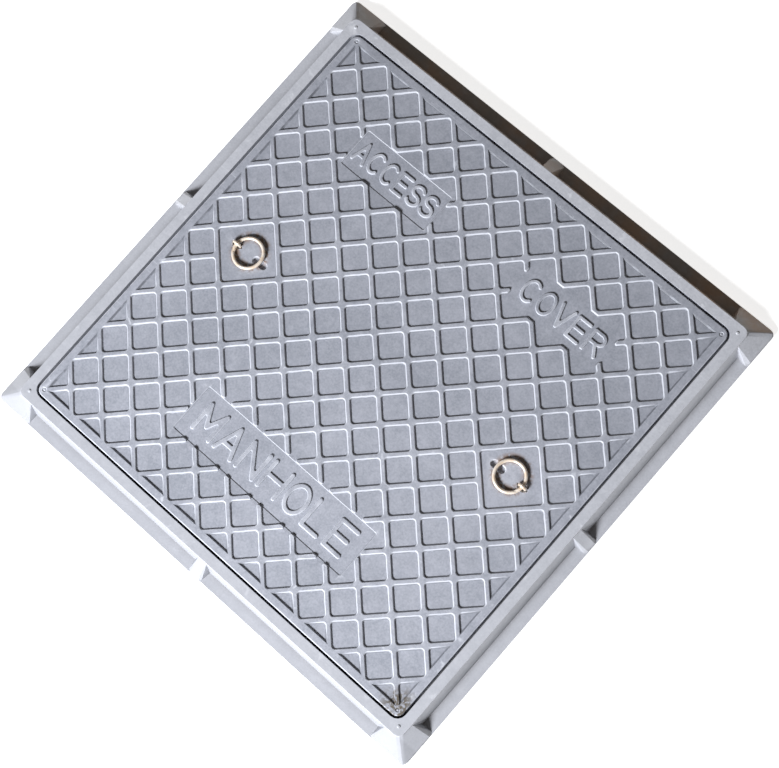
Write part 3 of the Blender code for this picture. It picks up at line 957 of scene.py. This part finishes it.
def raised_word(name, word, centre, size, half_width, level):
    """A word in plain round-ended letters standing on a level face of the lid."""
    foot_width = half_width * FOOT_SHARE
    letter_width = (size[0] - 2 * half_width) / (len(word) + LETTER_GAP * (len(word) - 1))
    height = size[1] - 2 * half_width
    gap = letter_width * LETTER_GAP
    profile = [(-inward * half_width, level + rise * MM) for inward, rise in LETTER_PROFILE]
    bm = bmesh.new()
    start = flat(centre[0] - size[0] / 2 + half_width, centre[1] - height / 2)
    for number, letter in enumerate(word):
        corner = start + flat(number * (letter_width + gap), 0)
        feet = []
        tops = []
        for outline in letter_outlines(letter, letter_width, height, foot_width, corner):
            foot, top = add_profile(bm, rounded(outline, 0.3 * MM, 0.6 * MM, step=math.radians(25)), profile)
            feet.append(foot)
            tops.append(top)
        fill(bm, feet)
        fill(bm, tops)
    return piece_from(bm, name, "lid", LID_MOULDING)


# Small raised dots near the corners

DOT_STEPS = 20
LID_DOT_RADIUS = 1.5 * MM
FRAME_DOT_RADIUS = 2.1 * MM
FRAME_DOT_REACH = 310.5 * MM


def add_dot(bm, centre, level, radius, rise):
    """A low round dome standing on a face."""
    rings = ((1.2, -0.12 * MM), (1.0, 0.12 * rise), (0.9, 0.7 * rise), (0.7, 0.95 * rise), (0.3, rise))
    loops = [loop_at(bm, circle(radius * share, DOT_STEPS, centre), level + z) for share, z in rings]
    for lower, upper in zip(loops, loops[1:]):
        bridge(bm, lower, upper)
    bm.faces.new(loops[-1])
    bm.faces.new(loops[0][::-1])


def corner_dots(name, body, reach, level, radius, material):
    """One dot near each corner of the square, reach from its middle lines."""
    bm = bmesh.new()
    for x in (-reach, reach):
        for y in (-reach, reach):
            add_dot(bm, (x, y), level, radius, 0.5 * radius)
    return piece_from(bm, name, body, material)


# Frame and gasket

FRAME_EDGE = 1.2 * MM
PLATE_EDGE = 0.3 * MM
SOFTENED_ANGLE = math.radians(24)
GASKET_INNER = 289 * MM
LIP_WIDTH = 3.4 * MM
LIP_SLOPE = 1 * MM
LIP_RISE = 0.8 * MM


def softened_copy(node_name, name, width, body, material):
    """A copy of a CAD node with its edges rounded over."""
    bm = bmesh.new()
    bm.from_mesh(frame["nodes"][node_name].data)
    bmesh.ops.remove_doubles(bm, verts=bm.verts, dist=0.001 * MM)
    bmesh.ops.dissolve_limit(bm, angle_limit=math.radians(1), verts=bm.verts, edges=bm.edges)
    sharp = [edge for edge in bm.edges if edge.calc_face_angle(0) > SOFTENED_ANGLE]
    bmesh.ops.bevel(bm, geom=sharp, offset=width, segments=3, profile=0.5, affect="EDGES", clamp_overlap=True)
    return piece_from(bm, name, body, material, node_name, plain_area=300 * width * width)


def gasket():
    """The seat's rubber strip: two low lips with a hollow between them."""
    middle = (GASKET_HIGH.x + GASKET_INNER) / 2
    half = GASKET_HIGH.x - middle
    low = GASKET_LOW.z
    high = GASKET_HIGH.z
    steps = [
        (-half + 0.5 * MM, low),
        (half - 0.5 * MM, low),
        (half, low + 0.5 * MM),
        (half, high - 0.6 * MM),
        (half - 0.6 * MM, high),
        (half - LIP_WIDTH, high),
        (half - LIP_WIDTH - LIP_SLOPE, high - LIP_RISE),
        (-half + LIP_WIDTH + LIP_SLOPE, high - LIP_RISE),
        (-half + LIP_WIDTH, high),
        (-half + 0.6 * MM, high),
        (-half, high - 0.6 * MM),
        (-half, low + 0.5 * MM),
    ]
    bm = bmesh.new()
    first, last = add_profile(bm, rounded_square(middle, LID_CORNER_RADIUS), steps)
    bridge(bm, first, last)
    return piece_from(bm, "gasket_strip", "frame", BLACK_RUBBER, "seat_gasket")


# Rings, staples and nuts


def hinge_of(word):
    """The hinge axis of a ring: the middle of the wire at its outer end."""
    joint = next(j for j in frame["record"]["behaviour"]["joints"] if j["name"] == f"ring_{word}_swing")
    return Vector(joint["pos_m"])


def add_tube(bm, centres, frames, radii, sections):
    """A tube round the centres; frames gives the two directions across it at each."""
    loops = []
    for centre, (across, up), radius in zip(centres, frames, radii):
        loop = []
        for k in range(sections):
            angle = k / sections * math.tau
            loop.append(bm.verts.new(centre + (across * math.cos(angle) + up * math.sin(angle)) * radius))
        loops.append(loop)
    for first, second in zip(loops, loops[1:]):
        bridge(bm, first, second)
    bm.faces.new(loops[0][::-1])
    bm.faces.new(loops[-1])


RING_SEAM = math.radians(-28)
RING_LAP = math.radians(9)
RING_STEPS = 150
RING_SECTIONS = 20


def wire_radius_near_end(distance, full, tip_length):
    """The wire thins to a rounded tip over tip_length."""
    share = min(1, max(0, distance / tip_length))
    return full * (0.42 + 0.58 * share ** 0.7)


def ring(word, side):
    """A bent wire ring; its two thinned ends lie side by side a little way round from the eye."""
    hinge = hinge_of(word)
    centres = []
    frames = []
    radii = []
    total = math.tau + 2 * RING_LAP
    for k in range(RING_STEPS + 1):
        angle = RING_SEAM - RING_LAP + total * k / RING_STEPS
        from_end = min(k, RING_STEPS - k) / RING_STEPS * total * RING_RADIUS
        end_share = max(0, 1 - from_end / (2.4 * RING_LAP * RING_RADIUS))
        shift = math.copysign(1.0 * MM * end_share, k - RING_STEPS / 2)
        outwards = Vector((math.cos(angle), math.sin(angle), 0))
        centres.append(outwards * (RING_RADIUS + shift))
        frames.append((outwards, Vector((0, 0, 1))))
        radius = wire_radius_near_end(from_end, RING_WIRE, 2 * RING_LAP * RING_RADIUS)
        tip = min(1, from_end / (0.8 * MM))
        radii.append(radius * (0.35 + 0.65 * math.sqrt(tip)))
    bm = bmesh.new()
    add_tube(bm, centres, frames, radii, RING_SECTIONS)
    place = Matrix.Translation(hinge) @ Matrix.Diagonal((side, 1, 1, 1))
    place = place @ Matrix.Rotation(RING_TILT, 4, "Y") @ Matrix.Translation((-RING_RADIUS, 0, 0))
    bmesh.ops.transform(bm, matrix=place, verts=bm.verts)
    return piece_from(bm, f"pull_ring_{word}", f"ring_{word}", GOLD_WIRE, f"ring_{word}")


THREAD_PITCH = 0.7 * MM
THREAD_TOP = 19 * MM
THREAD_CREST = 1.95 * MM
THREAD_ROOT = 1.68 * MM
BOW_STEPS = 24
STAPLE_SECTIONS = 18


def leg_rows():
    """Height and radius of a staple's leg from its chamfered end, over the thread, up to the bow."""
    rows = [(STAPLE_END_Z, 1.5 * MM), (STAPLE_END_Z + 0.35 * MM, THREAD_CREST)]
    for turn in range(int((THREAD_TOP - STAPLE_END_Z) / THREAD_PITCH) - 1):
        z = STAPLE_END_Z + (turn + 0.7) * THREAD_PITCH
        rows.append((z, THREAD_CREST))
        rows.append((z + 0.3 * THREAD_PITCH, THREAD_ROOT))
        rows.append((z + 0.6 * THREAD_PITCH, THREAD_CREST))
    rows.append((THREAD_TOP, STAPLE_WIRE))
    return rows


def staple(word):
    """A wire bow over the ring with two threaded legs down through the lid."""
    hinge = hinge_of(word)
    along_y = Vector((0, 1, 0))
    rows = leg_rows() + [(hinge.z - 2 * MM, STAPLE_WIRE)]
    path = []
    for z, radius in rows:
        path.append((Vector((hinge.x + STAPLE_LEG_OFFSET, 0, z)), (Vector((1, 0, 0)), along_y), radius))
    for k in range(BOW_STEPS + 1):
        angle = k / BOW_STEPS * math.pi
        out = Vector((math.cos(angle), 0, math.sin(angle)))
        path.append((hinge + out * STAPLE_LEG_OFFSET, (out, along_y), STAPLE_WIRE))
    for z, radius in rows[::-1]:
        path.append((Vector((hinge.x - STAPLE_LEG_OFFSET, 0, z)), (Vector((-1, 0, 0)), along_y), radius))
    bm = bmesh.new()
    add_tube(bm, *zip(*path), STAPLE_SECTIONS)
    return piece_from(bm, f"staple_{word}", "lid", GOLD_WIRE, f"eye_staple_{word}")


NUT_STEPS = 48
NUT_CIRCLE_SHARE = 0.97
NUT_CHAMFER_SLOPE = 0.55
BORE_CLEARANCE = 0.25 * MM
BORE_CHAMFER = 0.4 * MM


def nut_face(bm, centre, flat_radius, level, inward):
    """One end of a nut: the loops of its bore's neck and mouth, its chamfer circle and its hexagon."""
    circle_row = []
    hexagon_row = []
    for k in range(NUT_STEPS):
        angle = k / NUT_STEPS * math.tau
        to_flat = (angle + math.pi / 6) % (math.pi / 3) - math.pi / 6
        reach = flat_radius / math.cos(to_flat)
        cut = (reach - NUT_CIRCLE_SHARE * flat_radius) * NUT_CHAMFER_SLOPE
        out = flat(math.cos(angle), math.sin(angle))
        tight = out * NUT_CIRCLE_SHARE * flat_radius
        wide = out * reach
        circle_row.append(bm.verts.new((centre.x + tight.x, centre.y + tight.y, level)))
        hexagon_row.append(bm.verts.new((centre.x + wide.x, centre.y + wide.y, level + inward * cut)))
    bore = STAPLE_WIRE + BORE_CLEARANCE
    mouth = loop_at(bm, circle(bore + BORE_CHAMFER, NUT_STEPS, centre), level)
    neck = loop_at(bm, circle(bore, NUT_STEPS, centre), level + inward * BORE_CHAMFER)
    return [neck, mouth, circle_row, hexagon_row]


def nut(word, place):
    """A hexagon nut with chamfered corners and a chamfered bore."""
    node = f"eye_nut_{word}_{place}"
    low, high = (Vector(corner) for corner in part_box(node))
    centre = (low + high) / 2
    flat_radius = min(high.x - low.x, high.y - low.y) / 2
    bm = bmesh.new()
    rows = nut_face(bm, centre, flat_radius, low.z, 1)
    rows += nut_face(bm, centre, flat_radius, high.z, -1)[::-1]
    for first, second in zip(rows, rows[1:] + rows[:1]):
        bridge(bm, first, second)
    return piece_from(bm, f"nut_{word}_{place}", "lid", PLATED_STEEL, node)


# Floor, light and camera

FLOOR_HALF = 6.0
FLOOR_GLOW = 0.75
WORLD_COLOUR = (1.0, 0.93, 0.86, 1)
WORLD_STRENGTH = 0.11
KEY_SIZE = (0.8, 0.5)
KEY_POWER = 134
KEY_COLOUR = (0.965, 0.975, 1.0)
KEY_DISTANCE = 2.6
KEY_ELEVATION = math.radians(36)
KEY_AIM = Vector((0, 0, 0.03))
LENS_LENGTH = 74.32
SENSOR_WIDTH = 36
EYE_PLACE = (0.42055, -0.14521, 1.95902)
EYE_DEGREES = (10.5132, 5.9982, 41.4654)


def floor():
    """A pale studio floor."""
    made, tree, shader, coordinates = new_material("pale_floor")
    cloud = noise(tree, coordinates, 2.0, 4)
    colour = mixed(tree, remap(tree, cloud, 0.3, 0.7), (0.90, 0.90, 0.895), (0.93, 0.93, 0.93))
    tree.links.new(colour, shader.inputs["Base Color"])
    shader.inputs["Roughness"].default_value = 0.9
    shader.inputs["Specular IOR Level"].default_value = 0.1
    shader.inputs["Emission Color"].default_value = (1, 1, 1, 1)
    shader.inputs["Emission Strength"].default_value = FLOOR_GLOW
    mesh = bpy.data.meshes.new("floor")
    z = FRAME_LOW.z - 0.2 * MM
    corners = [(x * FLOOR_HALF, y * FLOOR_HALF, z) for x, y in ((-1, -1), (1, -1), (1, 1), (-1, 1))]
    mesh.from_pydata(corners, [], [(0, 1, 2, 3)])
    mesh.materials.append(made)
    plane = bpy.data.objects.new("floor", mesh)
    bpy.context.scene.collection.objects.link(plane)


def studio():
    """A dim warm world and one softbox low on the -Y side."""
    world = bpy.data.worlds.new("studio")
    bpy.context.scene.world = world
    world.use_nodes = True
    background = world.node_tree.nodes["Background"]
    background.inputs["Color"].default_value = WORLD_COLOUR
    background.inputs["Strength"].default_value = WORLD_STRENGTH

    key = bpy.data.lights.new("key", "AREA")
    key.shape = "RECTANGLE"
    key.size = KEY_SIZE[0]
    key.size_y = KEY_SIZE[1]
    key.energy = KEY_POWER
    key.color = KEY_COLOUR
    lamp = bpy.data.objects.new("key", key)
    lamp.location = (0.0, -KEY_DISTANCE * math.cos(KEY_ELEVATION), KEY_DISTANCE * math.sin(KEY_ELEVATION))
    aim = KEY_AIM - lamp.location
    lamp.rotation_euler = aim.to_track_quat("-Z", "Y").to_euler()
    bpy.context.scene.collection.objects.link(lamp)

    settings = bpy.context.scene.view_settings
    settings.view_transform = "Standard"


def camera():
    """A camera high over the cover, turned so that the cover stands on one corner."""
    data = bpy.data.cameras.new("camera")
    data.lens = LENS_LENGTH
    data.sensor_width = SENSOR_WIDTH
    eye = bpy.data.objects.new("camera", data)
    eye.location = EYE_PLACE
    eye.rotation_euler = Euler([math.radians(angle) for angle in EYE_DEGREES], "XYZ")
    bpy.context.scene.collection.objects.link(eye)
    bpy.context.scene.camera = eye


lid()
for name, word, centre, size, half_width, level in WORDS:
    raised_word(name, word, (centre[0] * GRID_PITCH, centre[1] * GRID_PITCH), size, half_width, level)
corner_dots("lid_dots", "lid", DIMPLE_REACH, DIMPLE_Z, LID_DOT_RADIUS, LID_MOULDING)
corner_dots("frame_dots", "frame", FRAME_DOT_REACH, TOP_Z, FRAME_DOT_RADIUS, FRAME_MOULDING)
softened_copy("frame", "frame_body", FRAME_EDGE, "frame", FRAME_MOULDING)
gasket()
for word, side in (("left", -1), ("right", 1)):
    ring(word, side)
    staple(word)
    plate = f"backing_plate_{word}"
    softened_copy(f"eye_plate_{word}", plate, PLATE_EDGE, "lid", PLATED_STEEL)
    for place in ("outer", "inner"):
        nut(word, place)
floor()
studio()
camera()
